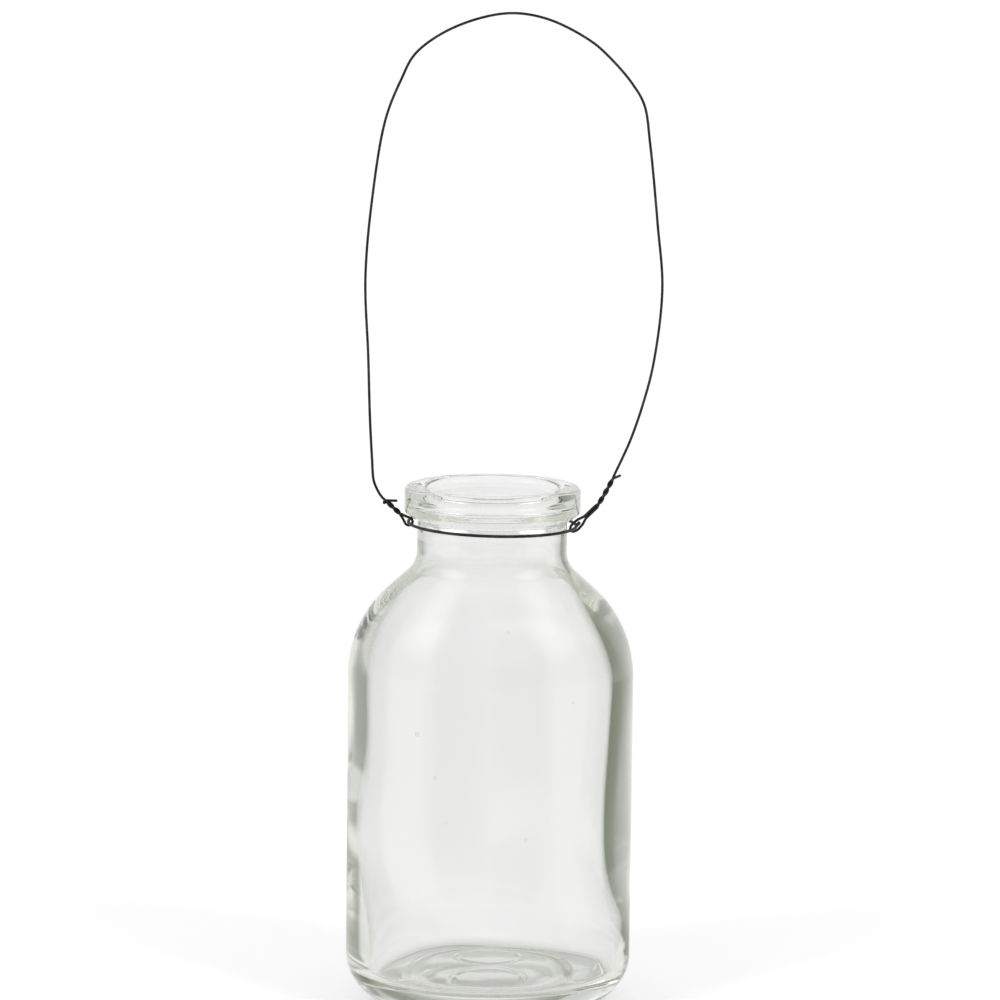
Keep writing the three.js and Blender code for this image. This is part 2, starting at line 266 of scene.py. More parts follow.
def outer_profile():
    """(radius, height) from the underside's middle round the heel and up to the lip's top. Each line and arc
    ends with its number of steps."""
    bearing = BODY_R - HEEL_ROUND
    recess = bearing - BEARING_WIDTH
    flat = recess - RECESS_SLOPE
    points = [(0, RECESS_DEPTH)]
    points += line(points[-1], (flat, RECESS_DEPTH), 12)
    points += line(points[-1], (recess - RECESS_SLOPE / 2, RECESS_DEPTH * RECESS_BEND), 3)
    points += line(points[-1], (recess, BEARING_LIFT), 3)
    points += line(points[-1], (recess + BEARING_EDGE_INNER, 0), 1)
    points += line(points[-1], (bearing - BEARING_EDGE_OUTER, 0), 3)
    points += arc((bearing, HEEL_ROUND), HEEL_ROUND, -90, 0, ROUND_ROWS)
    points += line(points[-1], (BODY_R, CONVEX[1]), WALL_ROWS)[:-1]
    points += arc(CONVEX, SHOULDER_ROUND, 0, SHOULDER_ANGLE, ROUND_ROWS)
    concave = arc(CONCAVE, NECK_FILLET, 180 + SHOULDER_ANGLE, 180, 14)
    points += line(points[-1], concave[0], 4)[:-1] + concave
    band_foot = HEIGHT - LIP_BAND
    slope = (NECK_R + LIP_SLOPE_OUT, band_foot - LIP_SLOPE_DROP)
    fillet = arc((NECK_R + LIP_NECK_FILLET, slope[1] - LIP_NECK_FILLET), LIP_NECK_FILLET, 180, 90, 8)
    points += line(points[-1], fillet[0], 5)[:-1] + fillet + line(fillet[-1], slope, 2)
    lower_centre = (LIP_R - LIP_LOWER_ROUND, band_foot + LIP_LOWER_ROUND)
    lower = arc(lower_centre, LIP_LOWER_ROUND, -LIP_LOWER_ANGLE, 0, 6)
    points += line(points[-1], lower[0], 3)[:-1] + lower
    upper = arc((LIP_R - LIP_TOP_ROUND, HEIGHT - LIP_TOP_ROUND), LIP_TOP_ROUND, 0, 90, 10)
    points += line(points[-1], upper[0], 6)[:-1] + upper
    return points


def inner_profile():
    """(radius, height) from the lip's top through the mouth and down to the floor's middle."""
    bore = NECK_R - NECK_WALL
    rim = arc((MOUTH_R + MOUTH_ROUND, HEIGHT - MOUTH_ROUND), MOUTH_ROUND, 90, 180, 8)
    points = line((LIP_R - LIP_TOP_ROUND, HEIGHT), rim[0], 4)[:-1] + rim
    top = HEIGHT - GROOVE_DROP + GROOVE_HEIGHT / 2
    for i in range(1, GROOVE_ROWS + 1):
        depth = GROOVE_DEPTH * (1 - math.cos(2 * math.pi * i / GROOVE_ROWS)) / 2
        points.append((MOUTH_R + depth, top - GROOVE_HEIGHT * i / GROOVE_ROWS))
    points += line(points[-1], (bore, top - GROOVE_HEIGHT - MOUTH_TAPER), 6)
    # the glass thins along the shoulder: its inner round is larger than the outer one, and further in
    centre = (CONVEX[0] - SHOULDER_THINNING, CONVEX[1])
    convex_r = SHOULDER_ROUND - WALL + SHOULDER_THINNING
    concave_r = NECK_FILLET + NECK_WALL
    apart = math.dist(centre, CONCAVE)
    heading = math.atan2(CONCAVE[1] - centre[1], CONCAVE[0] - centre[0])
    angle = math.degrees(heading - math.acos((convex_r + concave_r) / apart))
    concave = arc(CONCAVE, concave_r, 180, 180 + angle, 16)
    points += line(points[-1], concave[0], 2)[:-1] + concave
    convex = arc(centre, convex_r, angle, 0, ROUND_ROWS)
    points += line(points[-1], convex[0], 3)[:-1] + convex
    floor_r = BODY_R - WALL - FLOOR_ROUND
    low = arc((floor_r, FLOOR_THICK + FLOOR_ROUND), FLOOR_ROUND, 0, -90, 20)
    points += line(points[-1], low[0], WALL_ROWS)[:-1] + low
    for i in range(1, FLOOR_ROWS + 1):
        share = 1 - i / FLOOR_ROWS
        r = floor_r * share
        dent = DENT_DEPTH * math.exp(-(((r - DENT_R) / DENT_WIDTH) ** 2))
        points.append((r, FLOOR_THICK + FLOOR_CROWN * (1 - share * share) - dent))
    return points


def smooth_table(z, table):
    """A curve along (height, value) pairs, with its corners rounded over some SMOOTH_WIDTH."""
    offsets = np.linspace(-SMOOTH_REACH, SMOOTH_REACH, SMOOTH_SAMPLES)
    weights = np.exp(-((offsets / SMOOTH_WIDTH) ** 2) / 2)
    heights = np.array([p[0] for p in table])
    values = np.array([p[1] for p in table])
    return sum(w * np.interp(z + o, heights, values) for w, o in zip(weights, offsets)) / weights.sum()


def wrap(angle):
    """The same angle between -pi and pi."""
    return (angle + math.pi) % (2 * math.pi) - math.pi


def near(theta, middle):
    """1 at an angle round the axis, and less to both sides of it."""
    return np.exp(-((np.abs(wrap(theta - middle)) / math.radians(THICK_SPREAD)) ** 2))


def waves(theta, along, table):
    """The sum of a table's waves."""
    return sum(far * np.sin(times * theta + fast * along + start) for far, times, fast, start in table)


def ease(share):
    """A smooth step from 0 to 1."""
    share = np.clip(share, 0, 1)
    return share * share * (3 - 2 * share)


def extra_wall(theta, z):
    """How much thicker than WALL the glass is at an angle round the axis and a height, for arrays."""
    thick = near(theta, 0) * smooth_table(z, RIGHT_THICK) + near(theta, math.pi) * smooth_table(z, LEFT_THICK)
    wander = waves(theta, z, WALL_WAVES)
    wander += CROSS_WAVE * np.sin(theta * 2 + CROSS_WAVE_START) * np.sin(CROSS_WAVE_RISE * z)
    return thick + ease((WAVES_TOP - z) / WAVES_TOP_FADE) * ease((z - WAVES_FOOT) / WAVES_FOOT_FADE) * wander


def lathe(outer, inner, sides):
    """A closed mesh from the underside's middle over the rim to the floor's middle, with an uneven inside."""
    theta = np.arange(sides) * 2 * math.pi / sides
    verts, rings = [], []
    profile = [(r, z, False) for r, z in outer] + [(r, z, True) for r, z in inner]
    for r, z, is_inner in profile:
        if r < 1e-6:
            # one vertex is enough on the axis
            rings.append([len(verts)] * sides)
            verts.append((0.0, 0.0, z))
            continue
        zs = np.full(sides, z)
        rs = np.full(sides, r)
        if is_inner:
            share = (r - THICK_FROM_R) / (THICK_FULL_R - THICK_FROM_R)
            rs = rs - extra_wall(theta, zs) * min(1.0, max(0.0, share))
            if z < FLOOR_WAVES_TOP:
                zs = zs + min(1.0, r / FLOOR_WAVES_FULL_R) * waves(theta, r, FLOOR_WAVES)
        else:
            # the skin stays within the CAD's box: the waves only go inwards
            rs = rs - (sum(wave[0] for wave in SKIN_WAVES) + waves(theta, z, SKIN_WAVES))
        start = len(verts)
        verts += list(zip(rs * np.cos(theta), rs * np.sin(theta), zs))
        rings.append(list(range(start, start + sides)))
    faces = []
    for low, high in zip(rings, rings[1:]):
        for i in range(sides):
            j = (i + 1) % sides
            corners = without_repeats([low[i], low[j], high[j], high[i]])
            if len(corners) > 2:
                faces.append(corners)
    return verts, faces


def without_repeats(corners):
    return [c for n, c in enumerate(corners) if c not in corners[:n]]


def seed_bubble(centre, radii, lean):
    """A small hollow in the glass: its faces point into it."""
    rows, sides = 10, 16
    turn = Matrix.Rotation(lean, 3, "Y")
    verts, faces = [], []
    for i in range(rows + 1):
        down = math.pi * i / rows
        for j in range(1 if i in (0, rows) else sides):
            about = 2 * math.pi * j / sides
            point = Vector((
                radii[0] * math.sin(down) * math.cos(about),
                radii[1] * math.sin(down) * math.sin(about),
                radii[2] * math.cos(down),
            ))
            verts.append(tuple(Vector(centre) + turn @ point))

    def at(i, j):
        if i == 0:
            return 0
        if i == rows:
            return len(verts) - 1
        return 1 + (i - 1) * sides + j % sides

    for i in range(rows):
        for j in range(sides):
            faces.append(without_repeats([at(i, j), at(i, j + 1), at(i + 1, j + 1), at(i + 1, j)]))
    return verts, faces


def mesh_object(name, verts, faces, material):
    mesh = bpy.data.meshes.new(name)
    mesh.from_pydata([tuple(c * MM for c in v) for v in verts], [], faces)
    mesh.polygons.foreach_set("use_smooth", [True] * len(faces))
    mesh.materials.append(material)
    mesh.update()
    obj = bpy.data.objects.new(name, mesh)
    bpy.context.scene.collection.objects.link(obj)
    return obj


# Materials
GLASS_IOR = 1.5
GLASS_COLOUR = (0.965, 0.967, 0.965, 1)
GLASS_DEPTH_COLOUR = (0.74, 0.77, 0.67, 1)
GLASS_DEPTH_DENSITY = 5.0
WAVES_STRETCH = (1.0, 1.0, 0.45)
STREAKS_STRETCH = (1.0, 1.0, 0.12)

WIRE_METAL = 0.75
WIRE_DARK = (0.36, (0.012, 0.012, 0.013, 1))
WIRE_MIDDLE = (0.5, (0.024, 0.023, 0.023, 1))
WIRE_RUBBED = (0.66, (0.05, 0.045, 0.041, 1))
WIRE_ROUGHNESS = (0.38, 0.62)


def new_material(name):
    material = bpy.data.materials.new(name)
    material.use_nodes = True
    nodes = material.node_tree.nodes
    nodes.clear()
    return material, nodes, material.node_tree.links


def node(nodes, kind, **settings):
    """A new node. Each setting goes to its input of that name, or else to its property."""
    made = nodes.new(kind)
    for key, value in settings.items():
        if key in made.inputs:
            made.inputs[key].default_value = value
        else:
            setattr(made, key, value)
    return made


def stretched_noise(nodes, links, coords, stretch, **settings):
    """Noise over the object's own space, with its axes scaled first."""
    mapping = node(nodes, "ShaderNodeMapping")
    mapping.inputs["Scale"].default_value = stretch
    noise = node(nodes, "ShaderNodeTexNoise", **settings)
    links.new(coords.outputs["Object"], mapping.inputs["Vector"])
    links.new(mapping.outputs["Vector"], noise.inputs["Vector"])
    return noise.outputs["Fac"]


def glass_material():
    """Clear glass with a slightly green depth, and slow waves and finer pulled streaks in its surface."""
    material, nodes, links = new_material("bottle_glass")
    out = node(nodes, "ShaderNodeOutputMaterial")
    shader = node(nodes, "ShaderNodeBsdfPrincipled", IOR=GLASS_IOR, Roughness=0.0)
    shader.inputs["Transmission Weight"].default_value = 1.0
    shader.inputs["Base Color"].default_value = GLASS_COLOUR
    coords = node(nodes, "ShaderNodeTexCoord")
    slow = stretched_noise(nodes, links, coords, WAVES_STRETCH, Scale=38.0, Detail=2.0, Roughness=0.45)
    fine = stretched_noise(nodes, links, coords, STREAKS_STRETCH, Scale=170.0, Detail=3.0, Roughness=0.5)
    first = node(nodes, "ShaderNodeBump", Strength=0.35, Distance=0.0006)
    second = node(nodes, "ShaderNodeBump", Strength=0.12, Distance=0.0001)
    links.new(slow, first.inputs["Height"])
    links.new(fine, second.inputs["Height"])
    links.new(first.outputs["Normal"], second.inputs["Normal"])
    links.new(second.outputs["Normal"], shader.inputs["Normal"])
    depth = node(nodes, "ShaderNodeVolumeAbsorption", Density=GLASS_DEPTH_DENSITY)
    depth.inputs["Color"].default_value = GLASS_DEPTH_COLOUR
    links.new(shader.outputs["BSDF"], out.inputs["Surface"])
    links.new(depth.outputs["Volume"], out.inputs["Volume"])
    return material


def wire_material(name, shift):
    """Dark annealed steel: a blue-black skin with browner, duller and rubbed places. shift moves them."""
    material, nodes, links = new_material(name)
    out = node(nodes, "ShaderNodeOutputMaterial")
    shader = node(nodes, "ShaderNodeBsdfPrincipled", Metallic=WIRE_METAL)
    coords = node(nodes, "ShaderNodeTexCoord")
    moved = node(nodes, "ShaderNodeMapping")
    moved.inputs["Location"].default_value = (shift, shift * 2, shift * 3)
    links.new(coords.outputs["Object"], moved.inputs["Vector"])
    blotches = node(nodes, "ShaderNodeTexNoise", Scale=420.0, Detail=4.0, Roughness=0.6)
    grain = node(nodes, "ShaderNodeTexNoise", Scale=3200.0, Detail=3.0, Roughness=0.6)
    for texture in (blotches, grain):
        links.new(moved.outputs["Vector"], texture.inputs["Vector"])
    colours = node(nodes, "ShaderNodeValToRGB")
    stops = colours.color_ramp.elements
    stops[0].position, stops[0].color = WIRE_DARK
    stops[1].position, stops[1].color = WIRE_RUBBED
    stops.new(WIRE_MIDDLE[0]).color = WIRE_MIDDLE[1]
    links.new(blotches.outputs["Fac"], colours.inputs["Fac"])
    links.new(colours.outputs["Color"], shader.inputs["Base Color"])
    rough = node(nodes, "ShaderNodeMapRange")
    rough.inputs["To Min"].default_value, rough.inputs["To Max"].default_value = WIRE_ROUGHNESS
    links.new(grain.outputs["Fac"], rough.inputs["Value"])
    links.new(rough.outputs["Result"], shader.inputs["Roughness"])
    bump = node(nodes, "ShaderNodeBump", Strength=0.4, Distance=0.00002)
    links.new(grain.outputs["Fac"], bump.inputs["Height"])
    links.new(bump.outputs["Normal"], shader.inputs["Normal"])
    links.new(shader.outputs["BSDF"], out.inputs["Surface"])
    return material


# The white stage, and the room: painted shade seen only inside the glass

# The camera and plain light see the stage. Only rays that were reflected inside the glass see the room, a
# painted shade that gives the glass its dark edges and bands: it is darker and greener to the left and right
# of the way from the camera, and paler elsewhere.
# Two or four numbers in brackets are a smooth step for between(): from the first number to the second, the
# value goes from the third to the fourth, or else from 0 to 1.

# The painted shade seen inside the glass, by the share of a quarter turn from the Y axis (0) to the X axis
# (1).
SHADE_END = (0.6, 0.7, 1.0, 0.0)
SHADE_LEFT = (0.0, 0.1, 0.47, 0.79)
SHADE_RIGHT_FULL = 0.43
SHADE_RIGHT_POWER = 0.8
SHADE_RIGHT_START = 0.5
# From the -X side to the +X side, by X over level distance.
SIDE_STEP = (-0.25, 0.25)
# The painted shade on the floor, seen only inside the glass, by level distance in metres, and where the floor
# under the bottle ends.
LEFT_NEAR = (0.08, 0.11, 1.0, 0.0)
LEFT_AGAIN = (0.13, 0.2, 0.0, 1.0)
LEFT_FAR = (0.42, 0.75, 1.0, 0.35)
RIGHT_FAR = (0.4, 0.6, 1.0, 0.9)
UNDER_BOTTLE = (0.028, 0.045)
# The painted shade in the world above the floor, seen only inside the glass, by a direction's height, and
# where its pale part turns paler.
LEFT_HIGH = (0.18, 0.34, 0.22, 0.0)
RIGHT_HIGH = (0.16, 0.32, 1.0, 0.0)
PALE_HIGH = (0.1, 0.35)
# The floor's own glow by level distance, and how much of it and of the world's white glass shows.
FLOOR_GLOW = (0.1, 1.2, 0.47, 0.66)
FLOOR_THROUGH_GLASS = (0.03, 0.07, 0.87, 0.75)
WORLD_THROUGH_GLASS = 0.75

FLOOR_WHITE = (0.86, 0.86, 0.86, 1)
# seen only by rays reflected inside the glass: painted shade and its paler parts; FLOOR_UNDER_BOTTLE is
# painted light on the floor under the bottle, which is in shadow
FLOOR_PALE = (0.6, 0.605, 0.58, 1)
FLOOR_PAINTED_SHADE = (0.115, 0.13, 0.09, 1)
FLOOR_UNDER_BOTTLE = (0.69, 0.695, 0.65, 1)
WORLD_WHITE = (1, 1, 1, 1)
WORLD_LIGHT = (0.55, 0.55, 0.55, 1)
# the pale and dark colours below are painted shade, seen only by rays reflected inside the glass
WORLD_PALE_LOW = (0.7, 0.705, 0.69, 1)
WORLD_PALE_HIGH = (0.86, 0.865, 0.85, 1)
WORLD_PAINTED_SHADE = (0.2, 0.215, 0.165, 1)

# Soft bright patches that only reflections see: their directions, and their edge and core in radians.
PATCHES = [(-0.74, -0.27, 0.62), (0.72, -0.3, 0.63)]
PATCH_EDGE = 0.4
PATCH_CORE = 0.1
PATCH_LIGHT = 1.1


def mix(nodes, links, factor, a, b, blend_type="MIX"):
    """A colour between or from two others. Each value may be a number, a colour or a socket."""
    made = node(nodes, "ShaderNodeMix", data_type="RGBA", blend_type=blend_type)
    for value, slot in ((factor, "Factor"), (a, "A"), (b, "B")):
        socket = [s for s in made.inputs if s.name == slot and (slot == "Factor" or s.type == "RGBA")][0]
        if isinstance(value, bpy.types.NodeSocket):
            links.new(value, socket)
        else:
            socket.default_value = value
    return [s for s in made.outputs if s.type == "RGBA"][0]


def math_node(nodes, links, operation, *values):
    made = node(nodes, "ShaderNodeMath", operation=operation)
    for socket, value in zip(made.inputs, values):
        if isinstance(value, bpy.types.NodeSocket):
            links.new(value, socket)
        else:
            socket.default_value = value
    return made.outputs[0]


def between(nodes, links, value, low, high, start=0.0, end=1.0):
    """A smooth step from start to end while value goes from low to high."""
    made = node(nodes, "ShaderNodeMapRange", interpolation_type="SMOOTHSTEP")
    for name, number in (("From Min", low), ("From Max", high), ("To Min", start), ("To Max", end)):
        made.inputs[name].default_value = number
    links.new(value, made.inputs["Value"])
    return made.outputs["Result"]


def blend(nodes, links, share, a, b):
    """a where share is 0, b where it is 1, for plain numbers."""
    other = math_node(nodes, links, "SUBTRACT", b, a)
    return math_node(nodes, links, "ADD", a, math_node(nodes, links, "MULTIPLY", other, share))


def ray_kinds(nodes, links):
    """Three numbers: 1 for a ray that came out of the glass after a reflection in it, 1 for one straight from
    the camera, and 1 for one that comes by a mirror or through glass."""
    path = node(nodes, "ShaderNodeLightPath")
    depths = [path.outputs["Glossy Depth"], path.outputs["Transmission Depth"]]
    once = [math_node(nodes, links, "MINIMUM", depth, 1.0) for depth in depths]
    inner = math_node(nodes, links, "MULTIPLY", *once)
    mirrored, through_glass = path.outputs["Is Glossy Ray"], path.outputs["Is Transmission Ray"]
    seen = math_node(nodes, links, "MAXIMUM", mirrored, through_glass)
    return inner, path.outputs["Is Camera Ray"], seen


def shade_parts(nodes, links, vector):
    """For a place or direction: its share of the quarter turn from the Y axis to the X axis, its share of the
    way from the -X side to the +X side, its level distance and its height."""
    split = node(nodes, "ShaderNodeSeparateXYZ")
    links.new(vector, split.inputs["Vector"])
    x, y = split.outputs["X"], split.outputs["Y"]
    squares = [math_node(nodes, links, "MULTIPLY", v, v) for v in (x, y)]
    # never 0, because it divides
    square = math_node(nodes, links, "MAXIMUM", math_node(nodes, links, "ADD", *squares), 0.000001)
    level = math_node(nodes, links, "SQRT", square)
    across, ahead = [math_node(nodes, links, "ABSOLUTE", v) for v in (x, y)]
    angle = math_node(nodes, links, "ARCTAN2", across, ahead)
    turned = math_node(nodes, links, "DIVIDE", angle, math.pi / 2)
    side = between(nodes, links, math_node(nodes, links, "DIVIDE", x, level), *SIDE_STEP)
    return turned, side, level, split.outputs["Z"]


# the room's dark is painted shade: only rays reflected inside the glass see it
def painted_shade_share(nodes, links, turned):
    """How strong the painted shade seen inside the glass is, between the Y axis and a diagonal, on the -X
    side and on the +X side.
    """
    edge = between(nodes, links, turned, *SHADE_END)
    left = between(nodes, links, turned, *SHADE_LEFT)
    share = math_node(nodes, links, "DIVIDE", turned, SHADE_RIGHT_FULL)
    share = math_node(nodes, links, "MINIMUM", share, 1.0)
    share = math_node(nodes, links, "POWER", share, SHADE_RIGHT_POWER)
    right = blend(nodes, links, share, SHADE_RIGHT_START, 1.0)
    return [math_node(nodes, links, "MULTIPLY", side, edge) for side in (left, right)]


def fade(nodes, links, value, by, step):
    """A value times a smooth step."""
    return math_node(nodes, links, "MULTIPLY", value, between(nodes, links, by, *step))


def floor_material():
    """Pale floor. Rays that were reflected inside the glass meet painted shade instead, darker and greener to
    the sides, which gives the glass its dark edges.
    """
    material, nodes, links = new_material("floor_white")
    out = node(nodes, "ShaderNodeOutputMaterial")
    inner, straight, seen = ray_kinds(nodes, links)
    place = node(nodes, "ShaderNodeNewGeometry")
    turned, side, level, _ = shade_parts(nodes, links, place.outputs["Position"])
    left, right = painted_shade_share(nodes, links, turned)
    # on the left the painted shade leaves a pale gap between a dark strip near the bottle and the shade
    # further out
    near_or_again = [between(nodes, links, level, *step) for step in (LEFT_NEAR, LEFT_AGAIN)]
    left = math_node(nodes, links, "MULTIPLY", left, math_node(nodes, links, "MAXIMUM", *near_or_again))
    left = fade(nodes, links, left, level, LEFT_FAR)
    right = fade(nodes, links, right, level, RIGHT_FAR)
    # painted shade, seen only by rays reflected inside the glass
    painted_room = mix(nodes, links, blend(nodes, links, side, left, right), FLOOR_PALE, FLOOR_PAINTED_SHADE)
    # under the bottle the floor is in shadow, so rays reflected inside the glass see a pale painted colour
    # there instead
    painted_room = mix(nodes, links, between(nodes, links, level, *UNDER_BOTTLE), FLOOR_UNDER_BOTTLE, painted_room)
    colour = mix(nodes, links, inner, FLOOR_WHITE, painted_room)
    diffuse = node(nodes, "ShaderNodeBsdfDiffuse")
    links.new(colour, diffuse.inputs["Color"])
    glow = node(nodes, "ShaderNodeEmission")
    links.new(colour, glow.inputs["Color"])
    # under glass the floor is in shadow, so it is seen brighter there to let the base look clear
    shown = math_node(nodes, links, "MAXIMUM", straight, fade(nodes, links, seen, level, FLOOR_THROUGH_GLASS))
    links.new(fade(nodes, links, shown, level, FLOOR_GLOW), glow.inputs["Strength"])
    add = node(nodes, "ShaderNodeAddShader")
    links.new(diffuse.outputs["BSDF"], add.inputs[0])
    links.new(glow.outputs["Emission"], add.inputs[1])
    links.new(add.outputs["Shader"], out.inputs["Surface"])
    return material


def make_world():
    """White where it is seen, plain grey as a light, painted shade for rays that were reflected inside the
    glass, and a soft bright patch at each side in front.
    """
    world = bpy.data.worlds.new("studio")
    bpy.context.scene.world = world
    world.use_nodes = True
    nodes, links = world.node_tree.nodes, world.node_tree.links
    nodes.clear()
    out = node(nodes, "ShaderNodeOutputWorld")
    background = node(nodes, "ShaderNodeBackground", Strength=1.0)
    inner, straight, seen = ray_kinds(nodes, links)
    seen = math_node(nodes, links, "MULTIPLY", seen, WORLD_THROUGH_GLASS)
    shown = math_node(nodes, links, "MAXIMUM", straight, seen)
    coords = node(nodes, "ShaderNodeTexCoord")
    # rays that were reflected inside the glass see painted shade here: darker and greener to the sides, paler
    # elsewhere
    turned, side, _, height = shade_parts(nodes, links, coords.outputs["Generated"])
    left, right = painted_shade_share(nodes, links, turned)
    left = fade(nodes, links, left, height, LEFT_HIGH)
    right = fade(nodes, links, right, height, RIGHT_HIGH)
    pale = mix(nodes, links, between(nodes, links, height, *PALE_HIGH), WORLD_PALE_LOW, WORLD_PALE_HIGH)
    painted_room = mix(nodes, links, blend(nodes, links, side, left, right), pale, WORLD_PAINTED_SHADE)
    colour = mix(nodes, links, inner, mix(nodes, links, shown, WORLD_LIGHT, WORLD_WHITE), painted_room)
    path = node(nodes, "ShaderNodeLightPath")
    for way in PATCHES:
        along = node(nodes, "ShaderNodeVectorMath", operation="DOT_PRODUCT")
        links.new(coords.outputs["Generated"], along.inputs[0])
        along.inputs[1].default_value = Vector(way).normalized()
        step = (math.cos(PATCH_EDGE), math.cos(PATCH_CORE), 0.0, PATCH_LIGHT)
        patch = fade(nodes, links, path.outputs["Is Glossy Ray"], along.outputs["Value"], step)
        colour = mix(nodes, links, 1.0, colour, patch, "ADD")
    links.new(colour, background.inputs["Color"])
    links.new(background.outputs["Background"], out.inputs["Surface"])


# The wires, laid out level round the origin. side is -1 at -X and 1 at +X.
def beside_ring(side, out, up, back=0.0):
    """A point by its distance out from the ring."""
    return np.array([side * (RING_R + out), back, up])


def beside_twist(side, angle, along, above, back=0.0):
    """A point by its distances along and above a line that leaves the ring at an angle."""
    lean = math.radians(angle)
    out = along * math.cos(lean) - above * math.sin(lean)
    up = along * math.sin(lean) + above * math.cos(lean)
    return beside_ring(side, out, up, back)


def unit(v):
    return v / np.linalg.norm(v)


def curve(a, b, c, steps):
    """The points of a curve from a to c that is pulled towards b."""
    return [(1 - t) ** 2 * a + 2 * t * (1 - t) * b + t * t * c for t in np.linspace(0, 1, steps + 1)]


def ring_stations():
    """Once round the neck. Both ends turn out at +X and lie side by side between the hook's legs."""
    back = WIRE_R + RING_END_SPACE / 2
    vertex = beside_ring(1, 0, 0)
    way = unit(beside_twist(1, RIGHT_TWIST_ANGLE, RIGHT_TWIST_START, RIGHT_TWIST_SHIFT) - vertex)
    opening = math.asin((back + RING_END_BEND) / RING_R)

    def end(side):
        corner = vertex + np.array([0, side * back, 0])
        turned = np.array([RING_R * math.cos(opening), side * RING_R * math.sin(opening), 0])
        bend = curve(corner + way * RING_END_BEND, corner, turned, RING_END_STATIONS)
        return [corner + way * RING_END_LENGTH, *bend]

    stations = end(-1)
    for i in range(1, RING_STATIONS):
        a = -opening - (2 * math.pi - 2 * opening) * i / RING_STATIONS
        stations.append(np.array([RING_R * math.cos(a), RING_R * math.sin(a), 0]))
    return stations + end(1)[::-1]


def twist_strands(side, centre, tangent, half_turns):
    """Two strands wound round a middle line. centre and tangent take the share of the way along it."""
    steps = round(half_turns * TWIST_STATIONS)
    upper, lower = [], []
    for i in range(steps + 1):
        way = tangent(i / steps)
        turn = math.pi * half_turns * i / steps
        offset = np.array([-side * way[2], 0, side * way[0]]) * BAIL_WIRE_R * math.cos(turn)
        offset[1] = -BAIL_WIRE_R * math.sin(turn)
        upper.append(centre(i / steps) + offset)
        lower.append(centre(i / steps) - offset)
    return upper, lower


def hook_bend(side, angle, reach):
    """Round the ring's inner side, from the lower leg to the upper one."""
    turns = np.linspace(0, math.pi, BEND_STATIONS + 1)
    return [beside_twist(side, angle, -reach * math.sin(t), -LEG_R * math.cos(t)) for t in turns]


def left_side():
    """The twist's strands, the hook, the cut end and the twist's top at -X."""
    foot = beside_twist(-1, LEFT_TWIST_ANGLE, LEFT_TWIST_START, 0)
    top = beside_twist(-1, LEFT_TWIST_ANGLE, LEFT_TWIST_START + LEFT_TWIST_LENGTH, 0)
    way = unit(top - foot)
    upper, lower = twist_strands(-1, lambda t: foot + (top - foot) * t, lambda t: way, LEFT_HALF_TURNS)
    under = np.array([-way[2], 0, way[0]])
    end = []
    for i in range(1, LEFT_END_STATIONS + 1):
        turn = math.pi * i / LEFT_END_STATIONS
        point = upper[-1] + way * WIRE_D * i / LEFT_END_STATIONS + under * BAIL_WIRE_D * math.sin(turn)
        end.append(point + np.array([0, BAIL_WIRE_D * math.cos(turn), 0]))
    end.append(end[-1] + np.array([LEFT_END_LENGTH, 0, 0]))
    return upper, lower, hook_bend(-1, LEFT_TWIST_ANGLE, LEFT_HOOK_REACH), end, top


def right_side():
    """The same at +X, where the twist bends upwards and the hook's legs are longer."""
    foot = beside_twist(1, RIGHT_TWIST_ANGLE, RIGHT_TWIST_START, RIGHT_TWIST_SHIFT)
    low, high = math.radians(RIGHT_TWIST_ANGLE), math.radians(RIGHT_TWIST_TOP_ANGLE)
    corner = foot + RIGHT_TWIST_BEND * np.array([math.cos(low), 0, math.sin(low)])
    top = corner + (RIGHT_TWIST_LENGTH - RIGHT_TWIST_BEND) * np.array([math.cos(high), 0, math.sin(high)])
    fine = np.linspace(0, 1, TWIST_SAMPLES + 1)
    points = np.array(curve(foot, corner, top, TWIST_SAMPLES))
    lengths = np.concatenate([[0], np.cumsum(np.linalg.norm(np.diff(points, axis=0), axis=1))])

    def evenly(share):
        return np.interp(share * lengths[-1], lengths, fine)

    def centre(share):
        t = evenly(share)
        return (1 - t) ** 2 * foot + 2 * t * (1 - t) * corner + t * t * top

    def tangent(share):
        t = evenly(share)
        return unit((1 - t) * (corner - foot) + t * (top - corner))

    upper, lower = twist_strands(1, centre, tangent, RIGHT_HALF_TURNS)
    lean = math.radians(RIGHT_END_ANGLE)
    way = np.array([math.cos(lean), 0, math.sin(lean)])
    end = [
        lower[-1] + np.array([WIRE_D / 2, 0, WIRE_D / 2]),
        lower[-1] + np.array([WIRE_D / 4, 0, WIRE_D / 2]) + way * RIGHT_END_LENGTH,
    ]

    def leg(along, apart):
        shift = RIGHT_TWIST_SHIFT * along / RIGHT_TWIST_START
        return beside_twist(1, RIGHT_TWIST_ANGLE, along, shift + apart)

    # the legs leave room for the ring's two ends between them
    beside = WIRE_D + RIGHT_END_ROOM
    bend = [
        leg(RIGHT_PAIR_START, -BAIL_WIRE_R), leg(RING_END_LENGTH, -beside),
        *hook_bend(1, RIGHT_TWIST_ANGLE, RIGHT_HOOK_REACH),
        leg(RING_END_LENGTH, beside), leg(RIGHT_PAIR_START, BAIL_WIRE_R),
    ]
    return upper, lower, bend, end, top


